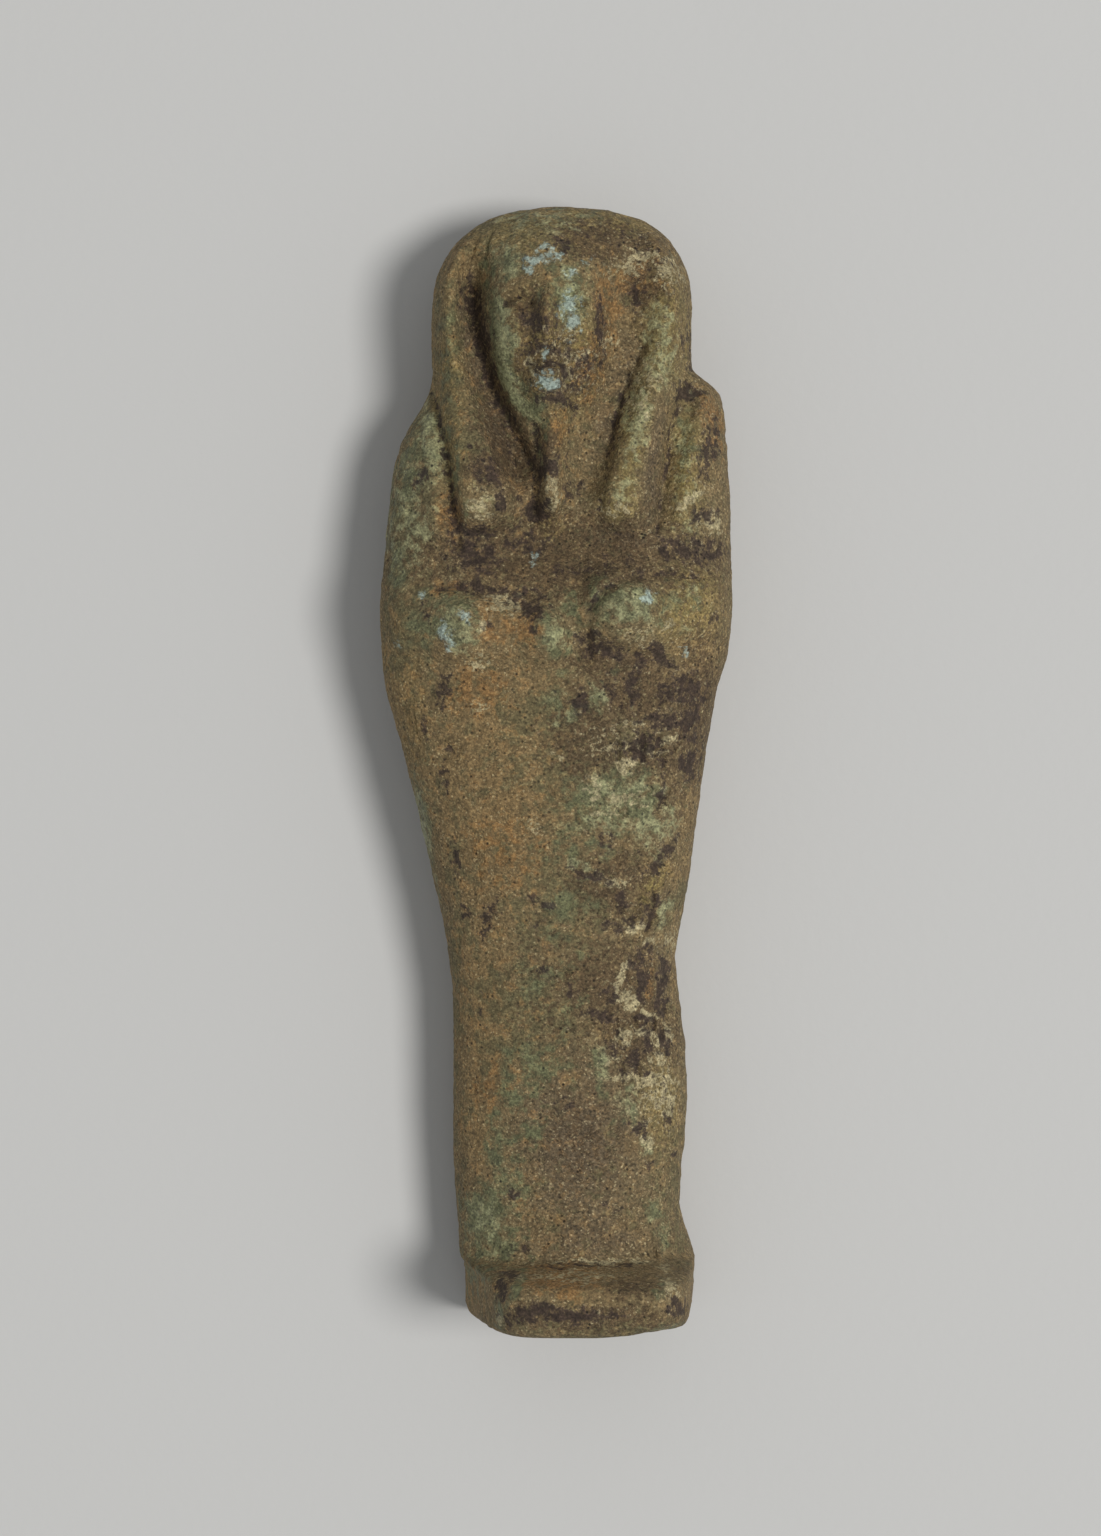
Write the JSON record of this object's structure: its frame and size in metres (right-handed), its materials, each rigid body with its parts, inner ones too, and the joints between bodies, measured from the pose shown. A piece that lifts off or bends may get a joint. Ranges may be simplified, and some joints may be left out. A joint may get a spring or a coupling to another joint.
{
  "type": "ushabti figurine",
  "caption": "Small mummy-shaped funerary figurine of moulded faience with a long wig, a beard, crossed forearms and a standing foot, worn and stained, lying on its flat back.",
  "frame": {"origin": "middle of the figure's box, on the surface that its flat back lies on", "axes": "+Y from the sole to the crown, +Z out of the chest and face, +X to the right of someone who looks down at the face"},
  "size_m": [0.0316, 0.1, 0.0224],
  "materials": {
    "faience": "weathered faience: matt sandy brown body with remains of a pale green glaze and dark purple-brown stains"
  },
  "bodies": {
    "root": {"ushabti": "faience"}
  },
  "joints": []
}
